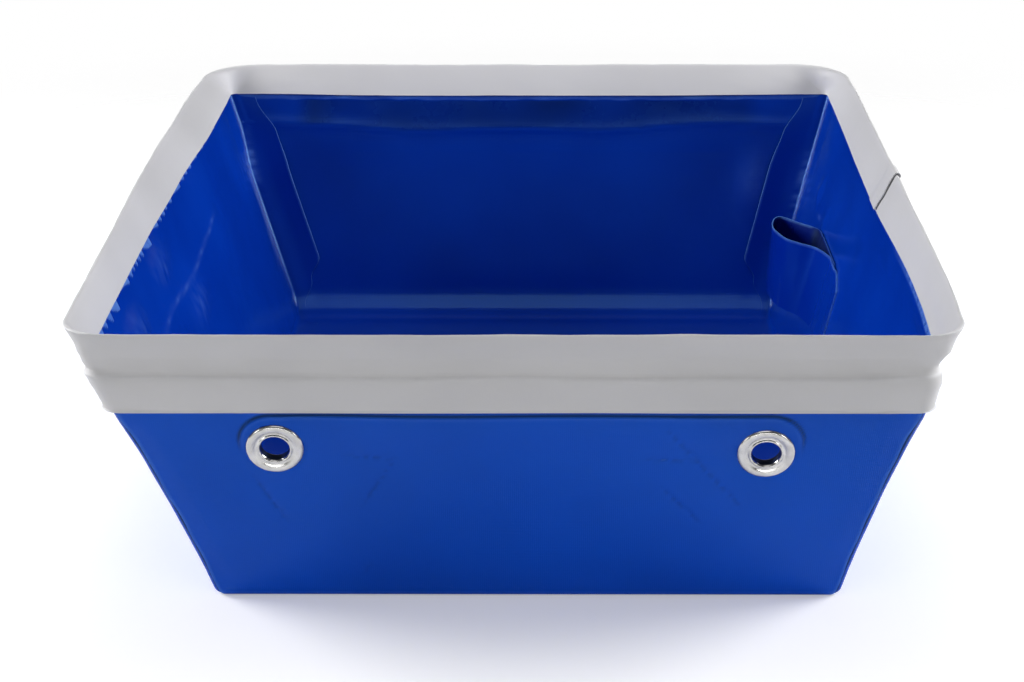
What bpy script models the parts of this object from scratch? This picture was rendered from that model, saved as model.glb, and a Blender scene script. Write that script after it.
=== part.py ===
"""Soft open-topped tub of welded tarpaulin, with a flared band round its rim.

Four flared walls stand on a rectangular floor. The side walls fold round the corners into tabs, which are
welded to the inner faces of the front and back walls. Above the fold line the walls go on as hems inside a
grey band, which is folded over their top edge. Two eyelets go through the front wall and the strip that
backs it. A loop of the same tarpaulin is welded to the inner face of the right wall.

Metres, +Z up. The front wall faces -Y. The origin is on the ground, under the middle of the rim.
"""

from math import asin, atan2, cos, pi, radians, sin

import bmesh
import bpy
from mathutils import Vector

# Floor and walls
FLOOR_HALF_X = 0.1783
FLOOR_HALF_Y = 0.2364
FLOOR_SHIFT_X = 0.0059
"""The soft walls lean: the floor stands this far to the right of the rim's middle."""
WALL_SLOPE_X = 0.306
WALL_SLOPE_Y = 0.251
FOLD_Z = 0.129
"""Height of the walls' fold line, just inside the band's lower edge."""
WELD_Z = 0.160
"""Height at which the band's inner leaf is welded to the walls."""
TOP_Z = 0.180
TARP = 0.0010
GAP = 0.0003
LIP_HEIGHT = 0.008
FLOOR_RADIUS = 0.004

# Corner tabs of the side walls: how far each one reaches along the front or back wall, at three heights
TAB_LEVELS = ((0.0, 0.012), (0.020, 0.021), (0.039, 0.029), (FOLD_Z, 0.029))

# Band round the rim
COLLAR_HALF_X = 0.2406
COLLAR_HALF_Y = 0.2921
COLLAR_RADIUS = 0.032
WELD_RADIUS = 0.0045
CORNER_RADIUS = 0.0004
"""Bend radius of the rim's corners where they lie on the walls' outer faces."""
LEAF = 0.0009
BAND_LOW_Z = 0.127
RIDGE_Z = 0.150
BAND_STAND_OFF = 0.0038
"""How far the band's outer face stands out from the walls' outer faces."""
BAND_TOP_WIDTH = 0.0024
CORNER_STEPS = 6

# Hems of the walls and the strip that keeps the band straight, both inside the band
HEM_LOW_Z = BAND_LOW_Z + 0.0005
STIFFENER_LOW_Z = 0.130
STIFFENER_TOP_Z = RIDGE_Z

# Eyelets, and the strip that backs them
EYELET_SPOTS = {"left": (-0.1315, 0.1026), "right": (0.1364, 0.0996)}
"""X and Z of each eyelet's middle on the front wall. The two aren't quite level."""
EYELET_RADIUS = 0.016
EYELET_BORE = 0.008
BARREL = 0.009
CURL_RADIUS = 0.0118
CLOTH_HOLE = BARREL + GAP
WASHER = 0.0008
FLANGE_PROFILE = (
    (EYELET_RADIUS, GAP), (EYELET_RADIUS, 0.0009), (0.0145, 0.0020), (0.0125, 0.0026),
    (0.0105, 0.0022), (0.0088, 0.0013), (EYELET_BORE, 0.0003),
)
"""The flange's domed face as (radius, height above the cloth), from its rim in to the bore."""
CURL_DROP = 0.0011
"""How far the curled lip reaches below the washer. Its two bends are CURL_EDGE below it."""
CURL_EDGE = 0.0004
CURL_BENDS = (0.0088, 0.0110)
"""Radii between which the curled lip is flat."""
EYELET_SHARP_DEGREES = 50
CUTTER_REACH = 0.010
BACKING_SPOT = (0.0025, 0.101)
BACKING_HALF_X = 0.152
BACKING_HALF_HEIGHT = 0.022
BACKING_RADIUS = 0.018
ROUND_STEPS = 40

# Loop on the right wall
LOOP_LOW_Z = 0.052
LOOP_TOP_Z = 0.102
LOOP_CHAMFER_Z = 0.094
LOOP_CHAMFER = 0.018
LOOP_END_Y = 0.022
LOOP_END_CLEARANCE = 0.002
LOOP_HINGE_Y = 0.070
LOOP_BEND_Y = 0.138
LOOP_BEND_RADIUS = 0.017
LOOP_STEPS = 24

BLUE = (0.010, 0.045, 0.300)
GREY = (0.560, 0.560, 0.580)
STEEL = (0.780, 0.780, 0.760)
BLACK = (0.030, 0.030, 0.032)


def material(name, colour, roughness, metallic):
    made = bpy.data.materials.new(name)
    made.use_nodes = True
    shader = made.node_tree.nodes["Principled BSDF"]
    shader.inputs["Base Color"].default_value = (*colour, 1.0)
    shader.inputs["Roughness"].default_value = roughness
    shader.inputs["Metallic"].default_value = metallic
    return made


def tarpaulin(name):
    return material(name + "_blue_tarpaulin", BLUE, 0.28, 0.0)


def plated_steel(name):
    return material(name + "_plated_steel", STEEL, 0.22, 1.0)


def skin(name, rings, made_of, origin=(0, 0, 0), cyclic=False):
    """A closed solid through rings of as many points each. Its ends are capped, or joined if cyclic."""
    mesh = bpy.data.meshes.new(name)
    shape = bmesh.new()
    loops = [[shape.verts.new(Vector(point) - Vector(origin)) for point in ring] for ring in rings]
    pairs = list(zip(loops, loops[1:]))
    if cyclic:
        pairs.append((loops[-1], loops[0]))
    else:
        shape.faces.new(loops[0])
        shape.faces.new(loops[-1])
    for low, high in pairs:
        for i in range(len(low)):
            j = (i + 1) % len(low)
            shape.faces.new((low[i], low[j], high[j], high[i]))
    bmesh.ops.recalc_face_normals(shape, faces=shape.faces)
    shape.to_mesh(mesh)
    shape.free()
    mesh.materials.append(made_of)
    solid = bpy.data.objects.new(name, mesh)
    solid.location = origin
    bpy.context.scene.collection.objects.link(solid)
    return solid


def smooth(solid, sharp_degrees=35):
    solid.data.shade_smooth()
    solid.data.set_sharp_from_angle(angle=radians(sharp_degrees))


def rim_line(z):
    """Half sizes and X shift of the walls' outer faces at height z. Above the weld the band flares out."""
    wall_z = min(z, WELD_Z)
    half_x = FLOOR_HALF_X + WALL_SLOPE_X * wall_z
    half_y = FLOOR_HALF_Y + WALL_SLOPE_Y * wall_z
    flare = max(0.0, z - WELD_Z) / (TOP_Z - WELD_Z)
    half_x += flare * (COLLAR_HALF_X - half_x)
    half_y += flare * (COLLAR_HALF_Y - half_y)
    shift_x = FLOOR_SHIFT_X * (1.0 - wall_z / WELD_Z)
    return half_x, half_y, shift_x


def rounded_rectangle(half_x, half_y, radius, steps=CORNER_STEPS):
    points = []
    for corner, (side_x, side_y) in enumerate(((1, 1), (-1, 1), (-1, -1), (1, -1))):
        for step in range(steps + 1):
            angle = radians(90) * (corner + step / steps)
            x = side_x * (half_x - radius) + radius * cos(angle)
            y = side_y * (half_y - radius) + radius * sin(angle)
            points.append((x, y))
    return points


def ring_at(z, out, radius):
    """A rounded rectangle at height z, standing out from the walls' outer faces by out."""
    half_x, half_y, shift_x = rim_line(z)
    return [(x + shift_x, y, z) for x, y in rounded_rectangle(half_x + out, half_y + out, radius)]


def make_floor():
    """A shallow tray, whose lips stand inside the walls."""
    rings = []
    for z, inset in ((0.0, 0.0), (LIP_HEIGHT, 0.0), (LIP_HEIGHT, TARP), (TARP, TARP)):
        half_x, half_y, shift_x = rim_line(z)
        half_x -= TARP + GAP + inset
        half_y -= 2 * (TARP + GAP) + inset
        outline = rounded_rectangle(half_x, half_y, FLOOR_RADIUS)
        rings.append([(x + shift_x, y, z) for x, y in outline])
    skin("floor_panel", rings, tarpaulin("floor_panel"))


def end_panel(name, side_y, levels, out=0.0):
    """A straight strip of the front (side_y -1) or back (+1) wall. Its outer face stands out by out."""
    rings = []
    for z in levels:
        half_x, half_y, shift_x = rim_line(z)
        outer = side_y * (half_y + out)
        inner = side_y * (half_y + out - TARP)
        left, right = shift_x - half_x, shift_x + half_x
        rings.append([(left, outer, z), (right, outer, z), (right, inner, z), (left, inner, z)])
    return skin(name, rings, tarpaulin(name))


def side_hem(name, side_x, levels, out):
    rings = []
    for z in levels:
        half_x, half_y, shift_x = rim_line(z)
        outer = shift_x + side_x * (half_x + out)
        inner = shift_x + side_x * (half_x + out - TARP)
        rings.append([(outer, -half_y, z), (outer, half_y, z), (inner, half_y, z), (inner, -half_y, z)])
    return skin(name, rings, tarpaulin(name))


def side_wall(name, side_x):
    """A side wall with its two corner tabs, which lie along the inner faces of the front and back walls."""
    rings = []
    for z, tab in TAB_LEVELS:
        half_x, half_y, shift_x = rim_line(z)
        end = half_y - TARP - GAP
        plan = [
            (half_x - tab, -end), (half_x, -end), (half_x, end), (half_x - tab, end),
            (half_x - tab, end - TARP), (half_x - TARP, end - TARP),
            (half_x - TARP, TARP - end), (half_x - tab, TARP - end),
        ]
        rings.append([(shift_x + side_x * x, y, z) for x, y in plan])
    skin(name, rings, tarpaulin(name))


def make_walls():
    front = end_panel("front_wall", -1, (0.0, FOLD_Z))
    end_panel("back_wall", 1, (0.0, FOLD_Z))
    side_wall("left_wall", -1)
    side_wall("right_wall", 1)
    return front


def make_hems(parent):
    """The walls' upper edges, inside the band. They lie just outside the walls, so that they pass them."""
    levels = (HEM_LOW_Z, WELD_Z)
    out = GAP + TARP
    hems = [
        end_panel("front_hem", -1, levels, out),
        end_panel("back_hem", 1, levels, out),
        side_hem("left_hem", -1, levels, out),
        side_hem("right_hem", 1, levels, out),
    ]
    for hem in hems:
        hem.parent = parent


def low_ring(z, out):
    """A ring of the rim below the weld. Its corners bend round the corners of the walls."""
    return ring_at(z, out, CORNER_RADIUS + out)


def make_band(parent):
    """One strip folded over the walls' top edge: long outer leaf, flared collar and short inner leaf."""
    cavity = BAND_STAND_OFF - LEAF
    inner = -TARP - GAP
    top = TOP_Z - LEAF
    rings = [
        low_ring(BAND_LOW_Z, BAND_STAND_OFF), low_ring(RIDGE_Z, BAND_STAND_OFF),
        low_ring(WELD_Z, BAND_STAND_OFF), ring_at(TOP_Z, 0.0, COLLAR_RADIUS),
        ring_at(TOP_Z, -BAND_TOP_WIDTH, COLLAR_RADIUS), ring_at(WELD_Z, inner, WELD_RADIUS),
        ring_at(WELD_Z, inner + LEAF, WELD_RADIUS), ring_at(top, LEAF - BAND_TOP_WIDTH, COLLAR_RADIUS),
        ring_at(top, -LEAF / 2, COLLAR_RADIUS), low_ring(WELD_Z, cavity),
        low_ring(RIDGE_Z, cavity), low_ring(BAND_LOW_Z, cavity),
    ]
    grey = material("rim_band_grey_tarpaulin", GREY, 0.50, 0.0)
    band = skin("rim_band", rings, grey, cyclic=True)
    smooth(band)
    band.parent = parent


def make_stiffener(parent):
    """A flat strip between the hems and the band's outer leaf, which keeps the rim straight."""
    inner = 2 * GAP + TARP
    outer = BAND_STAND_OFF - LEAF - GAP
    rings = [
        low_ring(STIFFENER_LOW_Z, outer), low_ring(STIFFENER_TOP_Z, outer),
        low_ring(STIFFENER_TOP_Z, inner), low_ring(STIFFENER_LOW_Z, inner),
    ]
    strip = skin("rim_stiffener", rings, material("rim_stiffener_plastic", BLACK, 0.45, 0.0), cyclic=True)
    smooth(strip)
    strip.parent = parent


def put_on_front_wall(solid, spot):
    """Places a solid whose +Z is the front wall's outward normal and whose +Y points up the wall."""
    x, z = spot
    lean = atan2(WALL_SLOPE_Y, 1.0)
    solid.location = (x, -(FLOOR_HALF_Y + WALL_SLOPE_Y * z), z)
    solid.rotation_euler = (radians(90) + lean, 0.0, 0.0)


def circle(radius, height):
    angles = [2 * pi * step / ROUND_STEPS for step in range(ROUND_STEPS)]
    return [(radius * cos(angle), radius * sin(angle), height) for angle in angles]


def make_backing():
    """The strip welded behind the front wall, under both eyelets."""
    outline = rounded_rectangle(BACKING_HALF_X, BACKING_HALF_HEIGHT, BACKING_RADIUS)
    face = -TARP - GAP
    rings = [[(x, y, height) for x, y in outline] for height in (face, face - TARP)]
    backing = skin("eyelet_backing", rings, tarpaulin("eyelet_backing"))
    put_on_front_wall(backing, BACKING_SPOT)
    return backing


def make_eyelet(name, spot):
    """Domed flange outside, barrel through the cloth, and a lip curled over the washer inside."""
    curl_top = -2 * TARP - 3 * GAP - WASHER - GAP
    edge = curl_top - CURL_EDGE
    bottom = curl_top - CURL_DROP
    lip = [(EYELET_BORE, edge)] + [(radius, bottom) for radius in CURL_BENDS]
    lip += [(CURL_RADIUS, edge), (CURL_RADIUS, curl_top), (BARREL, curl_top), (BARREL, GAP)]
    rings = [circle(radius, height) for radius, height in list(FLANGE_PROFILE) + lip]
    eyelet = skin(name, rings, plated_steel(name), cyclic=True)
    smooth(eyelet, EYELET_SHARP_DEGREES)
    put_on_front_wall(eyelet, spot)


def make_washer(name, spot):
    top = -2 * TARP - 3 * GAP
    inner = BARREL + GAP
    profile = [
        (EYELET_RADIUS, top), (EYELET_RADIUS, top - WASHER), (inner, top - WASHER), (inner, top),
    ]
    rings = [circle(radius, height) for radius, height in profile]
    washer = skin(name, rings, plated_steel(name), cyclic=True)
    smooth(washer)
    put_on_front_wall(washer, spot)


def cut_hole(cloth, spot, name):
    ends = [circle(CLOTH_HOLE, -CUTTER_REACH), circle(CLOTH_HOLE, CUTTER_REACH)]
    cutter = skin(name, ends, tarpaulin(name))
    put_on_front_wall(cutter, spot)
    cutter.hide_render = True
    cutter.display_type = "WIRE"
    hole = cloth.modifiers.new(name, "BOOLEAN")
    hole.operation = "DIFFERENCE"
    hole.object = cutter


def right_wall_face(z):
    """X of the right wall's inner face at height z."""
    half_x, _, shift_x = rim_line(z)
    return shift_x + half_x - TARP


def teardrop(shrink):
    """The loop in plan as (distance in from the wall, y): an apex at the hinge, then a round bend."""
    centre = Vector((GAP + LOOP_BEND_RADIUS, LOOP_BEND_Y))
    apex = Vector((GAP, LOOP_HINGE_Y))
    along = centre - apex
    half_angle = asin(LOOP_BEND_RADIUS / along.length)
    heading = atan2(along.y, along.x)
    apex += along.normalized() * (shrink / sin(half_angle))
    radius = LOOP_BEND_RADIUS - shrink
    start = heading - radians(90) - half_angle
    sweep = radians(180) + 2 * half_angle
    arc = []
    for step in range(LOOP_STEPS + 1):
        angle = start + sweep * step / LOOP_STEPS
        arc.append(centre + radius * Vector((cos(angle), sin(angle))))
    return [apex] + arc


def make_loop():
    """A strip folded in two, open at its top and bottom. It turns about the line where its plies meet."""
    def ring(z, shrink):
        return [(right_wall_face(z) - point.x, point.y, z) for point in teardrop(shrink)]

    middle_z = (LOOP_LOW_Z + LOOP_TOP_Z) / 2
    hinge = (right_wall_face(middle_z) - GAP, LOOP_HINGE_Y, middle_z)
    rings = [ring(LOOP_LOW_Z, 0), ring(LOOP_TOP_Z, 0), ring(LOOP_TOP_Z, TARP), ring(LOOP_LOW_Z, TARP)]
    loop = skin("side_loop", rings, tarpaulin("side_loop"), origin=hinge, cyclic=True)
    smooth(loop)


def make_loop_end():
    """The strip's two ends, one on the other, welded to the wall. The upper front corner is cut off."""
    levels = (
        (LOOP_LOW_Z, LOOP_END_Y), (LOOP_CHAMFER_Z, LOOP_END_Y), (LOOP_TOP_Z, LOOP_END_Y + LOOP_CHAMFER),
    )
    back_y = LOOP_HINGE_Y - LOOP_END_CLEARANCE
    rings = []
    for z, front_y in levels:
        near = right_wall_face(z) - GAP
        far = near - 2 * TARP
        rings.append([(near, front_y, z), (near, back_y, z), (far, back_y, z), (far, front_y, z)])
    skin("loop_end", rings, tarpaulin("loop_end"))


def clear_scene():
    for thing in list(bpy.data.objects):
        bpy.data.objects.remove(thing)


def make_rim():
    """Everything that goes down with the rim when the walls fold, under one empty."""
    rim = bpy.data.objects.new("rim_axis", None)
    bpy.context.scene.collection.objects.link(rim)
    make_hems(rim)
    make_band(rim)
    make_stiffener(rim)


def make_eyelets(front_wall):
    backing = make_backing()
    for side, spot in EYELET_SPOTS.items():
        make_eyelet(side + "_eyelet", spot)
        make_washer(side + "_eyelet_washer", spot)
        cut_hole(front_wall, spot, side + "_wall_hole_cutter")
        cut_hole(backing, spot, side + "_backing_hole_cutter")


clear_scene()
make_floor()
front_wall = make_walls()
make_rim()
make_eyelets(front_wall)
make_loop()
make_loop_end()
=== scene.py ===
"""Looks of the tarpaulin tub. Its sheets, band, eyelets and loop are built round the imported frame.

Every soft piece is a closed sheet made from a grid of points on its outer face. The grid's rows go up and
its columns go round, so that the outer face looks away from the tub's inside. Lengths are in metres.
"""

from math import atan, cos, pi, radians, sin, sqrt

import bpy
import numpy as np
from mathutils import Matrix, Vector


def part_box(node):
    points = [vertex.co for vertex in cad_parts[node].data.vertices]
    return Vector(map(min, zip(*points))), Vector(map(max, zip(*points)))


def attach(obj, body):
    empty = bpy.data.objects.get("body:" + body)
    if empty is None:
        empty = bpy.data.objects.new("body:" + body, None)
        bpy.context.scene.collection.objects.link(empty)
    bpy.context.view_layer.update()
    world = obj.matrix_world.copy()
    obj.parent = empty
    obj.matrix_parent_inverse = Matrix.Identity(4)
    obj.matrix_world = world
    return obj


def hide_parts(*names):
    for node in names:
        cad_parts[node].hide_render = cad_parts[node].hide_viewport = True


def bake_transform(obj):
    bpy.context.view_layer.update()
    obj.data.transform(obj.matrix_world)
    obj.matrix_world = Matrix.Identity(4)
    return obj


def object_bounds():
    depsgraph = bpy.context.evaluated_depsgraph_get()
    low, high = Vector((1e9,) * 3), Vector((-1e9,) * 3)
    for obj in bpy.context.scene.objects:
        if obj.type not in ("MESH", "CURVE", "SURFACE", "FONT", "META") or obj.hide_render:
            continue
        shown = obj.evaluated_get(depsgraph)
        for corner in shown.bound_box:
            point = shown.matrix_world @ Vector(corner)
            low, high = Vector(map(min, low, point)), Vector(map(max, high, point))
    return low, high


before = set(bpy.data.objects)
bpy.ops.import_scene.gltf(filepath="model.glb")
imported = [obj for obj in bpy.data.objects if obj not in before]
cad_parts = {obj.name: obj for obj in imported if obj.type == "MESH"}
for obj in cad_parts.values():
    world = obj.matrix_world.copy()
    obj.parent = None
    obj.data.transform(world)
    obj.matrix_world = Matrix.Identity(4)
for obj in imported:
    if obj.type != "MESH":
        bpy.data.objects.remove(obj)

CAD_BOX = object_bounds()

# ------ sizes taken from the frame

BAND_LOW, BAND_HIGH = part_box("rim_band")
LOOP_LOW, LOOP_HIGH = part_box("side_loop")
LOOP_END_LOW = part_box("loop_end")[0]
BACKING_LOW, BACKING_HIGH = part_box("eyelet_backing")
BACKING_HALF_X = (BACKING_HIGH.x - BACKING_LOW.x) / 2
BACKING_HALF_Z = (BACKING_HIGH.z - BACKING_LOW.z) / 2
BACKING_RADIUS = 0.8 * BACKING_HALF_Z
BACKING_GAP = 0.0003
WELD_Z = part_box("front_hem")[1].z
RIDGE_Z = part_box("rim_stiffener")[1].z
TOP_Z = BAND_HIGH.z
BAND_LOW_Z = BAND_LOW.z
FOLD_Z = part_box("front_wall")[1].z


def wall_lines(z):
    """Left and right of the walls' outline at height z, and how far its ends are from the middle."""
    spots = [v.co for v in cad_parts["front_wall"].data.vertices if abs(v.co.z - z) < 1e-4]
    return min(p.x for p in spots), max(p.x for p in spots), -min(p.y for p in spots)


FOOT_LEFT, FOOT_RIGHT, FOOT_END = wall_lines(0.0)
FOLD_LEFT, FOLD_RIGHT, FOLD_END = wall_lines(FOLD_Z)
SLOPE_LEFT = (FOOT_LEFT - FOLD_LEFT) / FOLD_Z
SLOPE_RIGHT = (FOLD_RIGHT - FOOT_RIGHT) / FOLD_Z
SLOPE_END = (FOLD_END - FOOT_END) / FOLD_Z

# ------ sizes of the real cloth

CLOTH = 0.0008
"""Thickness of the coated fabric."""
PLY = 0.0011
"""From one ply's outer face to the next one's, where two plies lie together."""
FRONT_BEND = 0.0020
BACK_BEND = 0.024
SIDE_BEND = 0.0050
FRONT_CORNER = 0.0035
BACK_CORNER = 0.0030
FLAT_STRIP = 0.006
"""The walls' sheets reach this far in under the floor, so that they meet it where it is flat."""
STEP = 0.0021
FINE_STEP = 0.0013
WELD_STEP = 0.0008
"""Spacing of the sheets' points: in general, on the front sheet, and near the weld."""
FINE_BELOW_WELD = 0.012
WALL_TOP_Z = WELD_Z + 0.0012
TAB_TOP_Z = WELD_Z - 0.0015
HOLE_RADIUS = 0.0093
HOLE_REACH = 0.020
BACKING_HOLE_REACH = 0.014
"""How far from a hole's middle its round shape still spreads the sheet's points."""
CROWN = 0.0016
"""How far the front and back walls are drawn in along their corners."""

# ------ small functions of numbers and grids


def fade(value, start, end):
    """Smooth step from 0 at start to 1 at end."""
    t = np.clip((value - start) / (end - start), 0, 1)
    return t * t * (3 - 2 * t)


def bump(value, middle, width):
    return np.exp(-((value - middle) / width) ** 2)


def eased(value, marks):
    """Goes through the marks, each a pair of (value, result), and is level at each of them."""
    result = marks[0][1] + 0 * value
    for (start, low), (end, high) in zip(marks, marks[1:]):
        result = result + (high - low) * fade(value, start, end)
    return result


def undulation(a, b, wavelength, seed):
    """A smooth uneven wave over the plane, between about -1 and 1."""
    draw = np.random.default_rng(seed)
    waves = 7
    total = np.zeros(np.broadcast(a, b).shape)
    for _ in range(waves):
        angle = draw.uniform(0, 2 * pi)
        length = wavelength * draw.uniform(0.7, 1.6)
        phase = draw.uniform(0, 2 * pi)
        total += np.sin(2 * pi * (a * cos(angle) + b * sin(angle)) / length + phase)
    return total / sqrt(2 * waves)


def crease(a, b, start, end, width):
    """A fold mark along a line: sharp in the middle, fading to its ends."""
    run, rise = end[0] - start[0], end[1] - start[1]
    length = sqrt(run * run + rise * rise)
    along = ((a - start[0]) * run + (b - start[1]) * rise) / length
    across = ((a - start[0]) * rise - (b - start[1]) * run) / length
    ends = fade(along, -0.004, 0.010) * fade(length - along, -0.004, 0.010)
    return np.exp(-np.abs(across) / width) * ends


def travelled(points):
    """How far along a line each of its points is."""
    return np.concatenate([[0], np.cumsum(np.linalg.norm(np.diff(points, axis=0), axis=1))])


def normals(grid):
    """Unit normals of a grid of points, along columns crossed with rows."""
    normal = np.cross(np.gradient(grid, axis=1), np.gradient(grid, axis=0))
    return normal / np.maximum(np.linalg.norm(normal, axis=2, keepdims=True), 1e-12)


def push(grid, distance):
    """The grid with each point moved out along its normal."""
    return grid + normals(grid) * distance[..., None]


# ------ the tub's outline


def bend_reach(z, slope, radius):
    """How far a wall stands out from its foot line at height z, round a bend at the floor."""
    steep = sqrt(1 + slope * slope)
    middle = radius * (slope - steep)
    tangent_z = radius * (1 - slope / steep)
    on_bend = middle + np.sqrt(np.maximum(0, radius ** 2 - (radius - np.minimum(z, radius)) ** 2))
    return np.where(z < tangent_z, on_bend, slope * z)


def left_x(z):
    return FOOT_LEFT - bend_reach(z, SLOPE_LEFT, SIDE_BEND)


def right_x(z):
    return FOOT_RIGHT + bend_reach(z, SLOPE_RIGHT, SIDE_BEND)


def front_y(z):
    return -FOOT_END - bend_reach(z, SLOPE_END, FRONT_BEND)


def back_y(z):
    return FOOT_END + bend_reach(z, SLOPE_END, BACK_BEND)


LEFT_WELD_BOW = ((-0.28, 0.0010), (-0.08, 0.0034), (0.05, 0.0016), (0.18, -0.0026), (0.27, -0.0034))
RIGHT_WELD_BOW = ((-0.28, 0.0020), (-0.18, 0.0040), (0.02, 0.0), (0.20, 0.0013), (0.28, 0.0013))
LEFT_COLLAR_BOW = ((-0.28, -0.0010), (0.02, 0.0037), (0.17, 0.0020), (0.28, -0.0020))
RIGHT_COLLAR_BOW = ((-0.28, -0.0020), (-0.20, 0.0004), (0.20, 0.0004), (0.28, -0.0020))
"""How far each side stands out from its straight line, from front to back, as (y, distance)."""
LEFT_CORNER_DRIFT = (
    (0.006, 0.0), (0.030, -0.0002), (0.055, 0.0), (0.088, 0.0010), (0.118, 0.0028), (0.138, 0.0018),
    (0.152, 0.0024), (0.168, 0.0008),
)
RIGHT_CORNER_DRIFT = (
    (0.030, 0.0), (0.060, 0.0006), (0.120, 0.0034), (0.142, -0.0008), (0.153, -0.0038), (0.166, -0.0012),
    (0.180, 0.0),
)
"""The same for the front corners, going up, as (z, distance)."""
FRONT_SAG = 0.0009
"""How far the collar's front edge hangs down."""
BACK_LIFT = 0.0012
"""How far the weld's back corners stand up."""


def warp(points):
    """The welded tub isn't quite regular: bowed sides, drifting front corners and a sagging front edge."""
    x, y, z = points[..., 0], points[..., 1], points[..., 2]
    collar = fade(z, WELD_Z, TOP_Z)
    weld = fade(z, 0.100, 0.140) * (1 - collar)
    front = fade(-y, 0.10, 0.27)
    back = fade(y, 0.18, 0.28)
    left = weld * eased(y, LEFT_WELD_BOW) + collar * eased(y, LEFT_COLLAR_BOW)
    right = weld * eased(y, RIGHT_WELD_BOW) + collar * eased(y, RIGHT_COLLAR_BOW)
    left = left + front * eased(z, LEFT_CORNER_DRIFT)
    right = right + front * eased(z, RIGHT_CORNER_DRIFT)
    side = fade(np.abs(x), 0.10, 0.21)
    out_x = np.where(x < 0, -left, right) * side
    from_corner = np.minimum(x - left_x(z), right_x(z) - x)
    height = fade(z, 0.002, 0.020) * fade(FOLD_Z - z, 0.0, 0.020)
    ends = fade(np.abs(y), 0.15, 0.22)
    out_y = -np.sign(y) * CROWN * (1 - fade(from_corner, 0.0, 0.018)) * height * ends
    out_z = side * back * weld * BACK_LIFT - FRONT_SAG * collar * fade(-y, 0.22, 0.28)
    return points + np.stack([out_x, out_y, out_z], axis=-1)


def wall_rows(step, extra=()):
    """Heights of a wall's rows, closer together at the weld, and how far under the floor each one lies."""
    bend = BACK_BEND * (1 - np.cos(np.radians(np.arange(0, 76, 5))))
    near_weld = WELD_Z - FINE_BELOW_WELD
    straight = np.linspace(bend[-1], near_weld, round((near_weld - bend[-1]) / step) + 1)
    last = np.linspace(near_weld, WALL_TOP_Z, round((WALL_TOP_Z - near_weld) / WELD_STEP) + 1)
    z = np.concatenate([[0.0], bend, np.sort(np.concatenate([straight[1:], last[1:], extra]))])
    inset = np.zeros_like(z)
    inset[0] = FLAT_STRIP
    return z[:, None], inset[:, None]


# ------ mesh work


def add_object(name, data):
    made = bpy.data.objects.new(name, data)
    bpy.context.scene.collection.objects.link(made)
    return made


def grid_faces(rows, columns, offset, flipped):
    corner = np.arange(rows * columns).reshape(rows, columns)
    quads = np.stack([corner[:-1, :-1], corner[:-1, 1:], corner[1:, 1:], corner[1:, :-1]], axis=2)
    quads = quads.reshape(-1, 4) + offset
    return quads[:, ::-1] if flipped else quads


def rim_faces(rows, columns):
    """The faces that join the outer grid to the inner one along the four edges."""
    corner = np.arange(rows * columns).reshape(rows, columns)
    edge = np.concatenate([corner[0, :], corner[1:, -1], corner[-1, -2::-1], corner[-2:0:-1, 0]])
    after = np.roll(edge, -1)
    behind = rows * columns
    return np.stack([after, edge, edge + behind, after + behind], axis=1)


def hole_faces(quads, rim, behind):
    """The same for the edges of the holes that the kept faces leave."""
    edges = set()
    for quad in quads.tolist():
        edges.update(zip(quad, quad[1:] + quad[:1]))
    outline = {(int(b), int(a)) for a, b in rim[:, :2]}
    open_edges = sorted(edge for edge in edges if edge[::-1] not in edges and edge not in outline)
    return np.array([(b, a, a + behind, b + behind) for a, b in open_edges], dtype=int).reshape(-1, 4)


def make_mesh(name, points, quads, uv, slots, slot_of_face, wear_and_painted_light=None, sharp_degrees=40):
    """A smooth-shaded object. Points that no face uses are left out."""
    used, corners = np.unique(quads, return_inverse=True)
    mesh = bpy.data.meshes.new(name)
    mesh.from_pydata(points[used].tolist(), [], corners.reshape(quads.shape).tolist())
    layer = mesh.uv_layers.new(name="cloth")
    layer.data.foreach_set("uv", uv[quads.ravel()].astype(np.float32).ravel())
    # The attribute holds scuffing, painted highlights (above 0) and painted shade (below 0).
    if wear_and_painted_light is not None:
        worn_and_lit = mesh.attributes.new("wear_and_painted_light", "FLOAT", "POINT")
        worn_and_lit.data.foreach_set("value", wear_and_painted_light[used].astype(np.float32))
    for slot in slots:
        mesh.materials.append(slot)
    mesh.polygons.foreach_set("material_index", slot_of_face.astype(np.int32))
    mesh.shade_smooth()
    mesh.set_sharp_from_angle(angle=radians(sharp_degrees))
    return add_object(name, mesh)


def sheet(name, face, uv, slots, keep=None, wear_and_painted_light=None):
    """A closed sheet: the grid face, the same grid moved in by the cloth's thickness, and the cut edges.

    uv is the cloth's own flat coordinates in metres, for the weave. slots are the materials of the outer
    face, the cut edges and the inner face. keep marks the grid's faces that stay. The last argument says how
    far the coat is scuffed pale or painted with a highlight (above 0), or painted with shade (below 0), at
    each point."""
    rows, columns = face.shape[:2]
    behind = rows * columns
    points = np.concatenate([face.reshape(-1, 3), (face - normals(face) * CLOTH).reshape(-1, 3)])
    outer = grid_faces(rows, columns, 0, False)
    inner = grid_faces(rows, columns, behind, True)
    rim = rim_faces(rows, columns)
    if keep is not None:
        outer, inner = outer[keep.ravel()], inner[keep.ravel()]
        rim = np.concatenate([rim, hole_faces(outer, rim, behind)])
    quads = np.concatenate([outer, inner, rim])
    slot_of_face = np.zeros(len(quads))
    slot_of_face[len(outer):] = 2
    slot_of_face[len(outer) + len(inner):] = 1
    wear_and_painted_light = np.zeros((rows, columns)) if wear_and_painted_light is None else np.broadcast_to(wear_and_painted_light, (rows, columns))
    both_wear_and_painted_light = np.concatenate([wear_and_painted_light.ravel()] * 2)
    both_uv = np.concatenate([uv.reshape(-1, 2)] * 2)
    return make_mesh(name, points, quads, both_uv, slots, slot_of_face, both_wear_and_painted_light)


def stand_in(piece, slot, *nodes):
    """Hides these CAD nodes, for the piece to be seen in their place. piece and slot are not used."""
    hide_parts(*nodes)


# ------ materials


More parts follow.
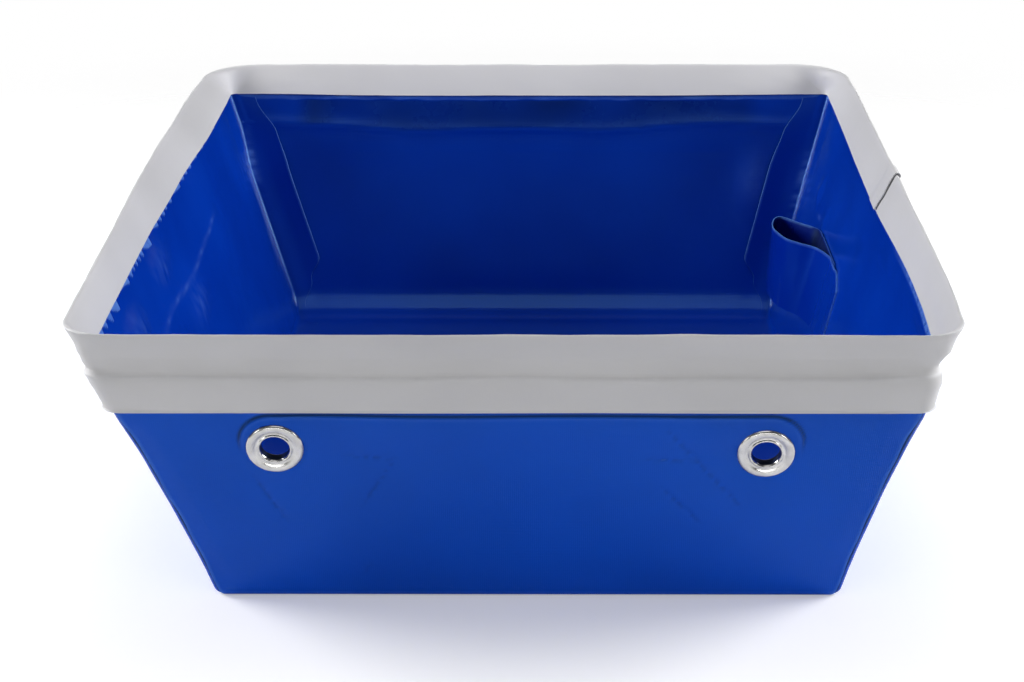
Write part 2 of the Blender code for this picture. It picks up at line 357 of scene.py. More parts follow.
class Nodes:
    """The node tree of a material or a world, with short names for what is used below."""

    def __init__(self, owner, place="Object"):
        owner.use_nodes = True
        self.owner = owner
        self.tree = owner.node_tree
        self.place = self.add("ShaderNodeTexCoord").outputs[place]

    def add(self, kind, inputs=None, **settings):
        node = self.tree.nodes.new(kind)
        for key, value in settings.items():
            setattr(node, key, value)
        for key, value in (inputs or {}).items():
            self.set(node, key, value)
        return node

    def set(self, node, key, value):
        if isinstance(value, bpy.types.NodeSocket):
            self.tree.links.new(value, node.inputs[key])
        else:
            node.inputs[key].default_value = value

    def shade(self, **values):
        for key, value in values.items():
            self.set(self.tree.nodes["Principled BSDF"], key.replace("_", " "), value)

    def noise(self, scale, detail=3.0, roughness=0.5):
        inputs = {"Vector": self.place, "Scale": scale, "Detail": detail, "Roughness": roughness}
        return self.add("ShaderNodeTexNoise", inputs).outputs["Fac"]

    def ramp(self, factor, low=0.0, high=1.0, from_low=0.3, from_high=0.7):
        """Maps a value from one range to another, with smooth ends."""
        inputs = {"Value": factor, "From Min": from_low, "From Max": from_high}
        inputs.update({"To Min": low, "To Max": high})
        return self.add("ShaderNodeMapRange", inputs, interpolation_type="SMOOTHSTEP").outputs["Result"]

    def mix(self, factor, first, second):
        node = self.add("ShaderNodeMix", data_type="RGBA")
        for key, value in (("Factor", factor), (6, first), (7, second)):
            self.set(node, key, value)
        return node.outputs[2]

    def math(self, operation, first, second=0.0):
        return self.add("ShaderNodeMath", {0: first, 1: second}, operation=operation).outputs[0]

    def bump(self, height, distance, strength=1.0, normal=None):
        inputs = {"Height": height, "Distance": distance, "Strength": strength}
        if normal is not None:
            inputs["Normal"] = normal
        return self.add("ShaderNodeBump", inputs).outputs["Normal"]

    def threads(self, pitch):
        """Waves along the cloth's own two directions, one crest a thread."""
        uv = self.add("ShaderNodeUVMap", uv_map="cloth").outputs["UV"]
        split = self.add("ShaderNodeSeparateXYZ", {"Vector": uv}).outputs
        return [self.math("SINE", self.math("MULTIPLY", split[axis], 2 * pi / pitch)) for axis in "XY"]


def wear_light_and_painted_shade(nodes):
    """The sheet's attribute of scuffing and painted light, and its painted shade: the part of it below 0,
    turned positive.
    """
    wear_and_painted_light = nodes.add("ShaderNodeAttribute", attribute_name="wear_and_painted_light").outputs["Fac"]
    return wear_and_painted_light, nodes.math("MAXIMUM", nodes.math("MULTIPLY", wear_and_painted_light, -1.0), 0.0)


def coated_cloth(name, deep, bright, worn_and_lit, tint, roughness, pitch, depth):
    """PVC-coated polyester: a coat over a fine weave, with uneven gloss and ribs.

    The sheet's attribute makes it pale where the coat is scuffed and where a highlight is painted
    (above 0), and dark with painted shade in gaps and shaded places (below 0). pitch is the distance
    between two threads, and depth how far they show in the coat."""
    nodes = Nodes(bpy.data.materials.new(name))
    cloud = nodes.noise(9.0, 2.0)
    swell = nodes.noise(42.0, 1.0)
    scuff = nodes.noise(110.0, 4.0, 0.6)
    grain = nodes.noise(1100.0, 1.0)
    warp_threads, weft_threads = nodes.threads(pitch)
    ribs = nodes.threads(2.1 * pitch)[1]
    weave = nodes.math("ADD", warp_threads, weft_threads)
    wear_and_painted_light, painted_shade = wear_light_and_painted_shade(nodes)
    thready = nodes.math("MULTIPLY", wear_and_painted_light, nodes.ramp(weave, 0.7, 1.0, -1.2, 1.2))
    # Pale where the coat is scuffed, and painted highlights.
    rubbed_and_highlit = nodes.math("MAXIMUM", nodes.math("MULTIPLY", thready, nodes.ramp(scuff, 0.75, 1.1)), 0.0)
    # The colour of painted shade.
    shadowed = [0.12 * value for value in deep[:3]] + [1.0]
    clean = nodes.mix(nodes.ramp(cloud), deep, bright)
    nodes.shade(Base_Color=nodes.mix(painted_shade, nodes.mix(rubbed_and_highlit, clean, worn_and_lit), shadowed))
    uneven = nodes.math("ADD", nodes.ramp(scuff, -0.02, 0.04), nodes.ramp(cloud, -0.02, 0.04))
    marked = nodes.math("ADD", rubbed_and_highlit, painted_shade)
    dull = nodes.math("ADD", uneven, nodes.math("MULTIPLY", marked, 0.30))
    nodes.shade(Roughness=nodes.math("ADD", dull, roughness), Specular_Tint=tint)
    ribbed = nodes.math("MULTIPLY", ribs, nodes.ramp(nodes.noise(14.0, 1.0), 0.0, 1.0, 0.58, 0.70))
    normal = nodes.bump(weave, depth, 0.25)
    normal = nodes.bump(ribbed, 2 * depth, 0.1, normal)
    normal = nodes.bump(grain, depth, 0.12, normal)
    nodes.shade(Normal=nodes.bump(swell, 0.0005, 0.30, normal))
    return nodes.owner


def cut_edge(name, colour, coat):
    """The cut edge of the sheet, where the coating's pale core and the threads show. Painted shade hides it
    in gaps and shaded places.
    """
    nodes = Nodes(bpy.data.materials.new(name))
    fibres = nodes.noise(1400.0, 2.0)
    painted_shade = wear_light_and_painted_shade(nodes)[1]
    darker = [0.6 * value for value in colour[:3]] + [1.0]
    clean = nodes.mix(nodes.ramp(fibres), darker, colour)
    nodes.shade(Base_Color=nodes.mix(painted_shade, clean, coat))
    nodes.shade(Roughness=0.55, Normal=nodes.bump(fibres, 0.0001, 0.6))
    return nodes.owner


def metal(name, colour, roughness):
    """Pressed and plated steel: small scratches and dull patches."""
    nodes = Nodes(bpy.data.materials.new(name))
    patches = nodes.noise(160.0, 4.0)
    scratches = nodes.noise(1500.0, 2.0, 0.7)
    dull = [0.8 * value for value in colour[:3]] + [1.0]
    nodes.shade(Base_Color=nodes.mix(nodes.ramp(patches), dull, colour))
    nodes.shade(Metallic=1.0, Roughness=nodes.ramp(patches, roughness, roughness + 0.10))
    nodes.shade(Normal=nodes.bump(scratches, 0.00002, 0.3))
    return nodes.owner


def moulded_plastic(name, colour):
    nodes = Nodes(bpy.data.materials.new(name))
    grain = nodes.noise(1200.0, 2.0)
    nodes.shade(Base_Color=colour, Roughness=nodes.ramp(grain, 0.4, 0.55))
    nodes.shade(Normal=nodes.bump(grain, 0.00005, 0.3))
    return nodes.owner


# The two darkest blues are painted shade on the loop.
DARKEST_SHADE_BLUE = (0.0002, 0.004, 0.14, 1)
DIM_BLUE = (0.0003, 0.016, 0.28, 1)
DEEP_BLUE = (0.0003, 0.031, 0.36, 1)
BRIGHT_BLUE = (0.0005, 0.041, 0.43, 1)
# Lighter copies of the inner blues for the outer face: painted light.
DEEP_LIT_OUTER_BLUE = (0.0007, 0.060, 0.51, 1)
BRIGHT_LIT_OUTER_BLUE = (0.0010, 0.073, 0.60, 1)
# Pale blue for scuffing and for painted highlights.
WORN_AND_HIGHLIT_BLUE = (0.13, 0.31, 0.80, 1)
EDGE_BLUE = (0.12, 0.36, 0.88, 1)
BLUE_SHEEN = (0.25, 0.62, 1.0, 1)
DEEP_GREY = (0.620, 0.616, 0.628, 1)
PALE_GREY = (0.670, 0.666, 0.678, 1)
# Pale grey for scuffing and painted highlights on the band, and for its cut edge.
WORN_AND_HIGHLIT_GREY = (0.74, 0.74, 0.76, 1)
WHITE_SHEEN = (1, 1, 1, 1)
NICKEL = (0.86, 0.85, 0.83, 1)
# Dark bluish steel for the eyelets' bores: painted shade inside the holes.
SHADED_BORE_STEEL = (0.02, 0.03, 0.07, 1)
BLACK = (0.03, 0.03, 0.032, 1)
BLUE_PITCH = 0.0011
GREY_PITCH = 0.0009


def blue_cloth(name, deep, bright, roughness, depth=0.00003):
    return coated_cloth(name, deep, bright, WORN_AND_HIGHLIT_BLUE, BLUE_SHEEN, roughness, BLUE_PITCH, depth)


# The outer face is a lighter copy of the inner blue: painted light.
LIT_OUTER_BLUE = blue_cloth("outer_blue_cloth_painted_lighter", DEEP_LIT_OUTER_BLUE, BRIGHT_LIT_OUTER_BLUE, 0.15, 0.00006)
BLUE = blue_cloth("inner_blue_cloth", DEEP_BLUE, BRIGHT_BLUE, 0.13)
# The loop's outer face is a darker copy of the blue, and its inner face darker still: painted shade.
SHADED_LOOP_BLUE = blue_cloth("loop_blue_cloth_painted_darker", DIM_BLUE, DEEP_BLUE, 0.15)
SHADED_BLUE = blue_cloth("shaded_blue_cloth", DARKEST_SHADE_BLUE, DIM_BLUE, 0.30)
BLUE_EDGE = cut_edge("blue_cut_edge", EDGE_BLUE, DEEP_BLUE)
GREY = coated_cloth(
    "grey_coated_cloth", DEEP_GREY, PALE_GREY, WORN_AND_HIGHLIT_GREY, WHITE_SHEEN, 0.45, GREY_PITCH, 0.00002
)
GREY_EDGE = cut_edge("grey_cut_edge", WORN_AND_HIGHLIT_GREY, DEEP_GREY)
STEEL = metal("nickel_plated_steel", NICKEL, 0.16)
# The bore's faces are painted with shade.
SHADED_BORE = metal("steel_bore_painted_shade", SHADED_BORE_STEEL, 0.35)
PLASTIC = moulded_plastic("black_plastic", BLACK)
BLUE_SLOTS = (LIT_OUTER_BLUE, BLUE_EDGE, BLUE)
GREY_SLOTS = (GREY, GREY_EDGE, GREY)
LOOP_SLOTS = (SHADED_LOOP_BLUE, BLUE_EDGE, SHADED_BLUE)

# ------ walls and floor

PATCH_TOP_Z = BACKING_HIGH.z + 0.0006
PATCH_ROWS = PATCH_TOP_Z + np.arange(-0.0024, 0.0025, 0.0006)
"""More rows of the front sheet, for the sharp upper edge of the strip behind it."""
FRONT_CREASES = (
    ((-0.145, 0.085), (-0.128, 0.052)),
    ((-0.094, 0.097), (-0.066, 0.095)),
    ((-0.066, 0.095), (-0.086, 0.063)),
    ((0.081, 0.116), (0.126, 0.061)),
    ((0.080, 0.076), (0.104, 0.050)),
    ((0.069, 0.095), (0.098, 0.094)),
    ((-0.087, 0.014), (-0.083, 0.023)),
)
"""Old fold marks on the front wall, as (x, z) of their ends."""
TAB_LEVELS = (
    (0.006, 0.004), (0.025, 0.015), (0.043, 0.027), (0.110, 0.027), (0.135, 0.025), (0.158, 0.0175),
)
"""How far a corner tab reaches along the end wall, as (z, reach)."""
TAB_REACH = max(reach for _, reach in TAB_LEVELS)
FRONT_SLACK = 0.0009
BACK_SLACK = 0.0009
LEFT_SLACK = 0.0017
RIGHT_SLACK = 0.0012
"""How far each wall's cloth billows between the floor and the weld."""
BACK_FOLD = ((-0.16, 0.1385), (-0.06, 0.1350), (0.05, 0.1350), (0.16, 0.1390))
"""The faint fold line of the back wall, as (x, z)."""
BACK_DENT = (0.172, 0.097)
LEFT_CREASE = ((-0.12, 0.1150), (-0.085, 0.1175), (-0.01, 0.1135), (0.06, 0.1180), (0.10, 0.1215))
"""The long crease of the left wall, as (y, z)."""
LEFT_DENTS = ((-0.061, 0.140, 0.0022), (-0.160, 0.133, 0.0026), (-0.020, 0.100, 0.0014))
RIGHT_DENTS = ((0.184, 0.112, 0.0016), (0.134, 0.104, 0.0008))
"""Dents of the side walls, as (y, z, depth)."""
RIGHT_SCRATCH = ((0.168, 0.100), (0.140, 0.104))
GATHER_PITCH = 0.0170
GATHERS_END_Y = 0.215
BOX_TO_HOLE = 0.0002
"""The eyelet leans with the wall, so the middle of its hole is this far above the middle of its box."""
"""The walls begin to give this far below their fold line when the rim is pressed down."""


def eyelet_spot(side):
    """x and z of the middle of an eyelet's hole, on the front wall's outer face."""
    low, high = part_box(side + "_eyelet")
    return (low.x + high.x) / 2, (low.z + high.z) / 2 + BOX_TO_HOLE


EYELET_SPOTS = {side: eyelet_spot(side) for side in ("left", "right")}


def inside_backing(x, z):
    """How far a point lies inside the outline of the strip behind the eyelets."""
    over_x = np.abs(x - (BACKING_LOW.x + BACKING_HIGH.x) / 2) - BACKING_HALF_X + BACKING_RADIUS
    over_z = np.abs(z - (BACKING_LOW.z + BACKING_HIGH.z) / 2) - BACKING_HALF_Z + BACKING_RADIUS
    from_core = np.hypot(np.maximum(over_x, 0), np.maximum(over_z, 0))
    return BACKING_RADIUS - from_core - np.minimum(np.maximum(over_x, over_z), 0)


def slack_between(z, low, high):
    """1 where the cloth hangs free, 0 at the floor and at the weld."""
    return fade(z, low, high) * fade(WELD_Z - z, 0.002, 0.030)


def front_relief(x, z):
    """How far the front wall stands out, and its scuffing and painted light: the strip behind it, fold marks
    and slack. The foot is scuffed pale, the strip's outline has a painted highlight inside it and a painted
    shade line outside it, and the fold marks have painted shade.
    """
    inside = inside_backing(x, z)
    upper = fade(z, 0.098, 0.112)
    relief = 0.0007 * upper * fade(inside, -0.0010, 0.0012)
    relief -= 0.00035 * upper * bump(inside, -0.0018, 0.0010)
    # Scuffed pale at the foot, and a painted highlight just inside the strip's outline.
    wear_and_painted_light = 0.12 * fade(0.003 - z, 0.0, 0.002) + 0.12 * upper * bump(inside, 0.0012, 0.0010)
    # A painted shade line just outside the strip's outline.
    wear_and_painted_light -= 0.9 * upper * bump(inside, -0.0006, 0.0009)
    for start, end in FRONT_CREASES:
        mark = crease(x, z, start, end, 0.0010)
        relief -= 0.00040 * mark
        # Painted shade along the fold marks, broken up.
        wear_and_painted_light -= 0.30 * mark * fade(undulation(x, z, 0.004, 4), -0.5, 0.3)
    from_eyelet = np.min([np.hypot(x - spot[0], z - spot[1]) for spot in EYELET_SPOTS.values()], axis=0)
    clamped = 0.3 + 0.7 * fade(from_eyelet, 0.0125, 0.0155)
    slack = slack_between(z, 0.010, 0.050) * fade(from_eyelet, 0.014, 0.030)
    return clamped * relief + FRONT_SLACK * slack * undulation(x, z, 0.17, 3), wear_and_painted_light


def back_relief(x, z):
    """The back wall is slack under the weld, with a faint fold line and a ripple along the band. A painted
    highlight line runs under the band, with painted shade from the fold line up to it, and a painted
    highlight lies on the dent.
    """
    relief = BACK_SLACK * slack_between(z, 0.015, 0.060) * undulation(x, z, 0.24, 21)
    fold_z = eased(x, BACK_FOLD) + 0.0012 * undulation(x, 0 * x, 0.12, 22)
    relief = relief - 0.0007 * bump(z, fold_z, 0.006) - 0.0006 * np.exp(-np.abs(z - fold_z) / 0.0016)
    relief -= 0.00015 * fade(0.16 - np.abs(x - 0.02), 0.0, 0.02) * bump(z, 0.119, 0.0015)
    from_dent = np.hypot(x - BACK_DENT[0], 0.6 * (z - BACK_DENT[1]))
    relief -= 0.0030 * bump(from_dent, 0.0, 0.013)
    pucker = fade(z, WELD_Z - 0.014, WELD_Z - 0.003) * fade(WELD_Z - z, 0.0005, 0.003)
    relief += 0.0004 * pucker * undulation(x, z, 0.035, 23)
    # A painted highlight line along the top, under the band.
    line = fade(z, WELD_Z - 0.0045, WELD_Z - 0.0030 + 0.0010 * undulation(x, 0 * x, 0.02, 25))
    # Painted shade from the fold line up.
    shade = fade(z, fold_z - 0.0006, fold_z + 0.0014) * (0.8 + 0.3 * undulation(x, z, 0.08, 24))
    middle = fade(0.17 - np.abs(x), -0.01, 0.01)
    # A painted highlight on the dent.
    shine = 0.15 * bump(from_dent, 0.0, 0.012)
    return relief, shine + 0.30 * line - 0.60 * shade * (1 - line) * middle


def gathers(y, z, seed):
    """Saw-toothed gathers that the weld has drawn into the top of a side wall, from 0 to 1."""
    phase = y / GATHER_PITCH + 0.9 * undulation(y, 0 * y, 0.07, seed)
    size = (0.25 + 0.75 * fade(-y, -0.16, 0.14)) * (0.75 + 0.35 * undulation(y, 0 * y, 0.05, seed + 1))
    height = 0.0014 + 0.0095 * (phase - np.floor(phase)) * np.maximum(size, 0.15)
    return fade(z, WELD_Z - height, WELD_Z - height + 0.0014) * fade(GATHERS_END_Y - y, 0.0, 0.02)


def left_relief(y, z):
    """The left wall: a long curved crease with a thin pale line, dents near the front with painted
    highlights, and gathers under the weld with painted highlights on their teeth.
    """
    crease_z = eased(y, LEFT_CREASE)
    span = fade(y, -0.135, -0.105) * fade(0.115 - y, 0.0, 0.03)
    relief = 0.0016 * fade(z, 0.100, 0.130) - 0.0007 * span * np.exp(-np.abs(z - crease_z) / 0.006)
    wear_and_painted_light = 0.28 * span * np.exp(-np.abs(z - crease_z) / 0.0007)
    for dent_y, dent_z, depth in LEFT_DENTS:
        away = np.hypot(0.6 * (y - dent_y), 1.4 * (z - dent_z))
        relief -= depth * bump(away, 0.0, 0.016)
        # Painted highlights on the dents.
        wear_and_painted_light += 0.22 * bump(away, 0.0, 0.012) * (1 + undulation(y, z, 0.010, 44)) / 2
    tooth = gathers(y, z, 41)
    relief += LEFT_SLACK * slack_between(z, 0.012, 0.050) * undulation(y, z, 0.16, 42)
    relief -= 0.0007 * tooth * fade(WELD_Z - z, 0.0003, 0.0020)
    # Painted highlights on the gathers' teeth.
    return relief, np.clip(wear_and_painted_light, 0, 0.3) + 0.9 * tooth


def right_relief(y, z):
    """The right wall hangs straighter, with a few dents, a scratch, and a painted highlight line under the
    weld that widens towards the front.
    """
    slack = RIGHT_SLACK * slack_between(z, 0.012, 0.050) * undulation(y, z, 0.18, 52)
    relief = 0.0012 * fade(z, 0.100, 0.130) + slack
    for dent_y, dent_z, depth in RIGHT_DENTS:
        away = np.hypot(y - dent_y, z - dent_z)
        relief -= depth * bump(away, 0.0, 0.009)
    # A painted highlight line under the weld, wider near the front.
    line = fade(z, WELD_Z - 0.0034, WELD_Z - 0.0024)
    near = fade(-y, 0.06, 0.16) * fade(z, WELD_Z - 0.0065, WELD_Z - 0.0050)
    scratch = crease(y, z, *RIGHT_SCRATCH, 0.0008)
    return relief, np.clip(0.60 * line + 0.60 * near + 0.3 * scratch, 0, 1)


def punch(x, z, spots, reach):
    """Draws the grid open round each spot, and marks which of its faces stay."""
    keep = np.ones((x.shape[0] - 1, x.shape[1] - 1), bool)
    for spot_x, spot_z in spots:
        away_x, away_z = x - spot_x, z - spot_z
        away = np.maximum(np.hypot(away_x, away_z), 1e-9)
        opened = HOLE_RADIUS + (reach - HOLE_RADIUS) * away / reach
        scale = np.where(away < reach, opened / away, 1.0)
        middle = np.hypot(away_x[:-1, :-1] + away_x[1:, 1:], away_z[:-1, :-1] + away_z[1:, 1:]) / 2
        keep &= middle > 1.3 * FINE_STEP
        x, z = spot_x + away_x * scale, spot_z + away_z * scale
    return x, z, keep


def end_sheet(name, side, y_of, corner, relief_of, step, spots=(), extra_rows=()):
    """The front (side -1) or back (+1) sheet. It ends where the side sheets' corners begin to bend."""
    z, inset = wall_rows(step, extra_rows)
    across = np.linspace(-1, 1, 2 * round(FOLD_RIGHT / step) + 1)[None, :] * -side
    left = left_x(z) + corner + inset
    right = right_x(z) - corner - inset
    cut = 0.0005 * undulation(z, 0 * z, 0.030, 11 + side)
    x = (left + right) / 2 + across * ((right - left) / 2 + cut)
    z = z + 0 * x
    x, z, keep = punch(x, z, spots, HOLE_REACH)
    relief, wear_and_painted_light = relief_of(x, z)
    face = push(np.stack([x, y_of(z) - side * inset, z], axis=2), relief)
    edge = fade(np.abs(across), 1 - 0.012, 1.0)
    uv = np.stack([x, z * sqrt(1 + SLOPE_END ** 2)], axis=2)
    return sheet(name, warp(face), uv, BLUE_SLOTS, keep, wear_and_painted_light + 0.4 * edge)


def side_plan(side, x_side, near, far, tab):
    """x and y of a side sheet's points: the near tab, its corner, the wall, the far corner and its tab.

    near and far are the sheet's two ends, each as (y, corner radius), and tab is how far the tabs reach."""
    (near_y, near_radius), (far_y, far_radius) = near, far
    f = np.linspace(0, 1, 15)[None, :-1]
    turn = np.linspace(0, pi / 2, 9)[None, :]
    g = np.linspace(0, 1, round(2 * FOOT_END / STEP))[None, 1:-1]
    run = far_y - near_y - side * (near_radius + far_radius)
    parts = [
        (x_side - side * (near_radius + tab * (1 - f)), near_y + 0 * f),
        (x_side - side * near_radius * (1 - np.sin(turn)), near_y + side * near_radius * (1 - np.cos(turn))),
        (x_side + 0 * g, near_y + side * near_radius + run * g),
        (x_side - side * far_radius * (1 - np.cos(turn)), far_y - side * far_radius * (1 - np.sin(turn))),
        (x_side - side * (far_radius + tab * (1 - f[:, ::-1])), far_y + 0 * f),
    ]
    return [np.concatenate(coordinate, axis=1) for coordinate in zip(*parts)]


def corner_painted_light(side, y, z, inward):
    """A painted highlight in a streak along the back corner, with painted shade beside it, and a painted
    shadow in the gap at the front.
    """
    gap = fade(inward, 0.0016, 0.0030) * fade(0.0060 - inward, 0.0, 0.001) * fade(-y, 0.2, 0.24)
    at_back = fade(y, 0.2, 0.24)
    ragged = bump(z, 0.112 if side < 0 else 0.095, 0.020) * (0.6 + 0.6 * undulation(y, z, 0.006, 61))
    streak = np.clip(bump(inward, 0.003, 0.003) * at_back * ragged, 0, 1)
    corner_shade = 0.2 * bump(inward, 0.0015, 0.0030) * at_back * (1 - streak)
    return 0.7 * streak - corner_shade - 0.9 * gap


def side_sheet(name, side, x_of, relief_of):
    """The left (side -1) or right (+1) sheet, with its corners and the tabs behind the end sheets."""
    z, inset = wall_rows(STEP)
    x_side = x_of(z) - side * inset
    front = (front_y(z) + PLY + inset, FRONT_CORNER)
    back = (back_y(z) - PLY - inset, BACK_CORNER)
    near, far = (front, back) if side > 0 else (back, front)
    x, y = side_plan(side, x_side, near, far, eased(z, TAB_LEVELS))
    z = z + 0 * x
    inward = side * (x_side - x)
    on_wall = 1 - fade(inward, 0.0, FRONT_CORNER)
    out_on_tab = np.clip((inward - BACK_CORNER) / TAB_REACH, 0, 1)
    relief, wear_and_painted_light = relief_of(y, z)
    relief = relief * fade(np.minimum(y - front_y(z), back_y(z) - y), 0.004, 0.030)
    lift = out_on_tab ** 1.5 * (0.0009 + 0.0026 * bump(z, 0.095, 0.045) + 0.0012 * fade(z, 0.11, 0.15))
    face = push(np.stack([x, y, z], axis=2), on_wall * relief - lift)
    lowered = fade(inward, 0.004, 0.010) * (WALL_TOP_Z - TAB_TOP_Z + 0.0020 * out_on_tab)
    face[..., 2] -= lowered * fade(z, 0.10, WALL_TOP_Z)
    # The corners get painted light, and the tabs' cut edges are pale.
    wear_and_painted_light = on_wall * wear_and_painted_light + corner_painted_light(side, y, z, inward) + 0.5 * fade(out_on_tab, 0.93, 1.0)
    slope = (SLOPE_LEFT + SLOPE_RIGHT) / 2
    uv = np.stack([y + np.sign(y) * np.maximum(0, inward), z * sqrt(1 + slope ** 2)], axis=2)
    return sheet(name, warp(face), uv, BLUE_SLOTS, wear_and_painted_light=wear_and_painted_light)


def floor_sheet():
    """The flat floor between the walls' bends, with a little slack."""
    x_low, x_high = float(left_x(0.0)) + FLAT_STRIP, float(right_x(0.0)) - FLAT_STRIP
    y_low, y_high = float(front_y(0.0)) + FLAT_STRIP, float(back_y(0.0)) - FLAT_STRIP
    spacing = 2 * STEP
    x = np.linspace(x_low, x_high, round((x_high - x_low) / spacing))[None, :]
    y = np.linspace(y_high, y_low, round((y_high - y_low) / spacing))[:, None]
    x, y = x + 0 * y, y + 0 * x
    inside = np.minimum(np.minimum(x - x_low, x_high - x), np.minimum(y - y_low, y_high - y))
    rise = 0.0014 * fade(inside, 0.0, 0.05) * (1 + undulation(x, y, 0.22, 61)) / 2
    return sheet("floor_sheet", np.stack([x, y, rise], axis=2), np.stack([x, y], axis=2), BLUE_SLOTS)


def make_walls():
    """The four walls' sheets, and the floor's sheet, which goes with the base."""
    spots = EYELET_SPOTS.values()
    made = {
        "front": end_sheet(
            "front_wall_sheet", -1, front_y, FRONT_CORNER, front_relief, FINE_STEP, spots, PATCH_ROWS
        ),
        "back": end_sheet("back_wall_sheet", 1, back_y, BACK_CORNER, back_relief, STEP),
        "left": side_sheet("left_wall_sheet", -1, left_x, left_relief),
        "right": side_sheet("right_wall_sheet", 1, right_x, right_relief),
    }
    for side, piece in made.items():
        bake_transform(piece)
        stand_in(piece, "blue_tarpaulin", side + "_wall", side + "_hem")
    floor = floor_sheet()
    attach(floor, "base")
    stand_in(floor, "blue_tarpaulin", "floor_panel")


# ------ rim band

COLLAR_RADIUS = 0.039
FRONT_RADII = ((0.148, 2.3), (0.163, 0.75), (TOP_Z, 0.58))
"""The front corners' radii as a part of the back ones', going up: (z, part)."""
CORNER_COLUMNS = 16
SIDE_SPACING = 0.004
FOLD_RADIUS = 0.0010
LAP = 0.018
"""How far the strip's two ends lie over each other, on the right side."""
LAP_MARKS = ((0.0, 0.010), (0.55, -0.001), (0.72, -0.002), (0.90, -0.012), (1.0, -0.014))
"""Where the upper end is cut, as (part of the way over the strip, y)."""
RIDGE_STEP = 0.0009
"""How much of a step the ridge makes above the stiffener."""
STIFFENER_STAND_OFF = 0.0024
STIFFENER_CORNER = 0.0040
STIFFENER_ENDS = (-0.002, -0.006)
STIFFENER_CLEARANCE = 0.0012


def rim_halves(z):
    """Half sizes of the rim at height z: the walls' lines up to the weld, then the collar's flare."""
    flare = max(0.0, z - WELD_Z) / (TOP_Z - WELD_Z)
    wall_z = min(z, WELD_Z)
    weld_x = (FOOT_RIGHT - FOOT_LEFT + (SLOPE_LEFT + SLOPE_RIGHT) * wall_z) / 2
    weld_y = FOOT_END + SLOPE_END * wall_z
    return weld_x + flare * (BAND_HIGH.x - weld_x), weld_y + flare * (BAND_HIGH.y - weld_y)


def rim_ring(z, out, radius, start_y, end_y):
    """Points round a rounded rectangle at height z, anticlockwise from a y on the right side to another."""
    half_x, half_y = rim_halves(z)
    half_x, half_y = half_x + out, half_y + out
    flat_x, flat_y = half_x - radius, half_y - radius
    front_radius = radius * float(eased(np.float64(z), FRONT_RADII))
    front_flat_x, front_flat_y = half_x - front_radius, half_y - front_radius
    count_x = round(2 * BAND_HIGH.x / SIDE_SPACING)
    count_y = round(2 * BAND_HIGH.y / SIDE_SPACING)
    sides = [
        [(half_x, y) for y in np.linspace(start_y, flat_y, count_y // 2, endpoint=False)],
        [(x, half_y) for x in np.linspace(flat_x, -flat_x, count_x, endpoint=False)],
        [(-half_x, y) for y in np.linspace(flat_y, -front_flat_y, count_y, endpoint=False)],
        [(x, -half_y) for x in np.linspace(-front_flat_x, front_flat_x, count_x, endpoint=False)],
    ]
    turns = ((1, 1), (-1, 1), (-1, -1), (1, -1))
    points = []
    for number, (side, (turn_x, turn_y)) in enumerate(zip(sides, turns)):
        points += side
        r = radius if turn_y > 0 else front_radius
        for step in range(CORNER_COLUMNS):
            angle = pi / 2 * (number + step / CORNER_COLUMNS)
            points.append((turn_x * (half_x - r) + r * cos(angle), turn_y * (half_y - r) + r * sin(angle)))
    points += [(half_x, y) for y in np.linspace(-front_flat_y, end_y, count_y // 2)]
    shift = (FOLD_LEFT + FOLD_RIGHT) / 2 * max(0.0, WELD_Z - z) / (WELD_Z - FOLD_Z)
    return [(x + shift, y, z) for x, y in points]


def band_profile():
    """The strip's way from the outer leaf's lower edge up, over the fold and down inside.

    Each point is (z, stand-off from the walls' line, corner radius)."""
    outer = [
        (BAND_LOW_Z + 0.0004, 0.0046, 0.0050), (BAND_LOW_Z + 0.0012, 0.0041, 0.0050),
        (0.130, 0.0042, 0.0052), (0.134, 0.0045, 0.0055), (0.139, 0.0050, 0.0058), (0.143, 0.0053, 0.0060),
        (0.1465, 0.0054, 0.0060), (0.1485, 0.0052, 0.0058), (0.1496, 0.0047, 0.0055),
        (0.1502, 0.0040, 0.0052), (0.1510, 0.0037 - RIDGE_STEP / 4, 0.0052),
        (0.1530, 0.0034 - RIDGE_STEP / 2, 0.0060), (0.1560, 0.0032 - RIDGE_STEP / 3, 0.0075),
        (WELD_Z, 0.0028, 0.011), (0.163, 0.0024, 0.015), (0.166, 0.0020, 0.020), (0.169, 0.0016, 0.025),
        (0.172, 0.0012, 0.030), (0.175, 0.0008, 0.034), (0.1775, 0.0004, 0.037),
    ]
    fold = [
        (TOP_Z - FOLD_RADIUS * (1 - cos(angle)), FOLD_RADIUS * (sin(angle) - 1), COLLAR_RADIUS)
        for angle in map(radians, range(90, -91, -20))
    ]
    inner = [
        (0.1770, -0.0022, 0.036), (0.1740, -0.0024, 0.030), (0.1710, -0.0025, 0.024),
        (0.1680, -0.0025, 0.018), (0.1650, -0.0024, 0.012), (0.1620, -0.0022, 0.007),
        (WELD_Z + 0.0002, -0.0021, 0.0045),
    ]
    return outer + fold + inner


def band_relief(along, over, even):
    """How far the band stands off its even shape: ripples, stronger at the front corners, and the lap."""
    x, y, z = even[..., 0], even[..., 1], even[..., 2]
    upper = 1 - fade(along, LAP, LAP + 0.008)
    loose = 1 - fade(along, 0.0, 0.012)
    corner = fade(np.abs(x), 0.17, 0.22) * fade(-y, 0.20, 0.27) * fade(WELD_Z + 0.004 - z, 0.0, 0.008)
    wave = undulation(along, over, 0.09, 71)
    soft = undulation(along, 3 * over, 0.028, 72)
    return 0.00035 * wave + (0.00012 + 0.0004 * corner) * soft + 1.1 * PLY * upper + 0.0003 * loose


